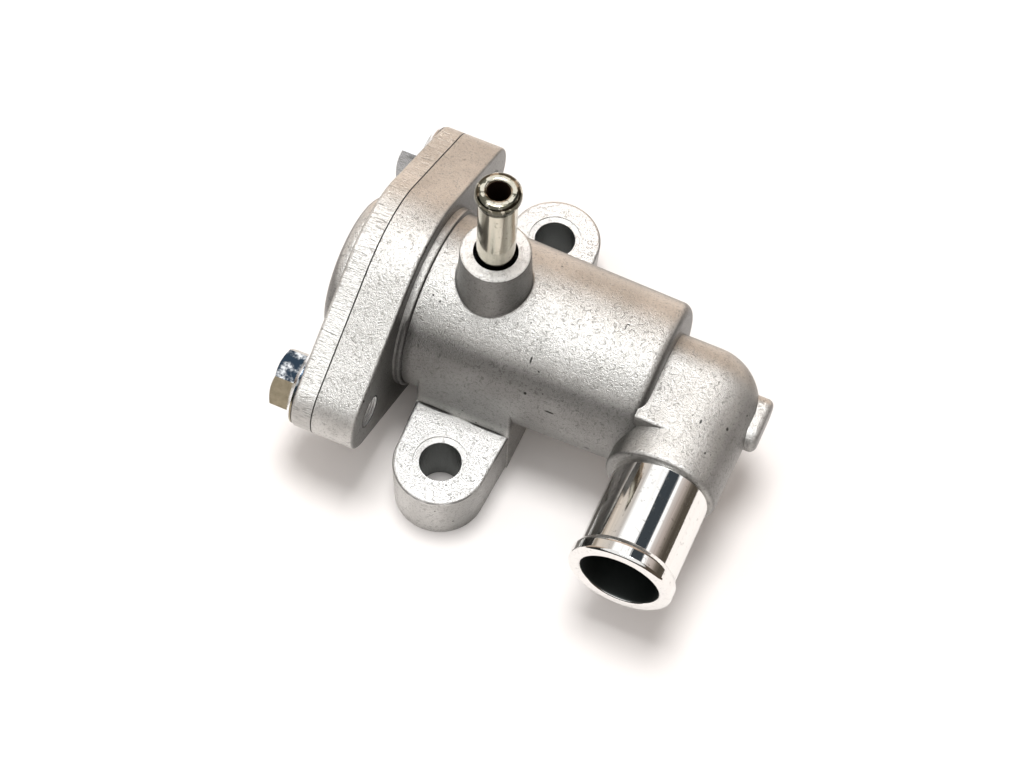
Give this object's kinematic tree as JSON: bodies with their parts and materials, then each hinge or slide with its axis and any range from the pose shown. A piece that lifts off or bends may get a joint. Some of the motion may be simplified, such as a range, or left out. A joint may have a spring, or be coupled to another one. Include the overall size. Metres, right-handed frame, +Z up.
{
  "type": "thermostat assembly",
  "caption": "Cast coolant thermostat housing with a bolted domed cover, a side hose pipe, a small top nipple, two foot lugs and a sprung wax valve inside.",
  "frame": {"origin": "middle of the flat mounting face, halfway between the two vertical bolt holes", "axes": "+X along the barrel from the cover to the elbow, -Y the way the hose pipe points, +Z up from the mounting face, as the small nipple points"},
  "size_m": [0.0968, 0.0857, 0.0765],
  "materials": {
    "cast": "shot-blasted casting",
    "zinc_bolt": "zinc plated",
    "chrome_pipe": "polished plating",
    "nipple_plating": "yellowish plating",
    "stamped_steel": "stainless",
    "spring_steel": "satin",
    "brass": "satin",
    "black_rubber": "matte",
    "wax": "wax with copper powder"
  },
  "bodies": {
    "housing": {"housing": "cast", "cover": "cast", "cover_o_ring": "black_rubber", "cover_bolt_front": "zinc_bolt", "cover_bolt_rear": "zinc_bolt", "hose_pipe": "chrome_pipe", "bypass_nipple": "nipple_plating", "frame_plate": "stamped_steel", "spring_cage": "stamped_steel", "seal_ring": "black_rubber", "retaining_ring": "spring_steel", "piston_pin": "stamped_steel", "main_spring": "spring_steel"},
    "valve": {"valve_disc": "stamped_steel", "valve_seal": "black_rubber", "wax_capsule": "brass", "capsule_cap": "brass", "rubber_sleeve": "black_rubber", "wax_charge": "wax"},
    "vent_pin": {"jiggle_pin": "brass"}
  },
  "joints": [
    {"name": "valve_lift", "type": "slide", "parent": "housing", "child": "valve", "axis": [-1, 0, 0], "range_m": [0, 0.008], "stiffness_N_per_m": 1500, "springref_m": -0.004, "deforming": ["main_spring"]},
    {"name": "vent_pin_slide", "type": "slide", "parent": "housing", "child": "vent_pin", "axis": [1, 0, 0], "range_m": [0, 0.001]}
  ]
}
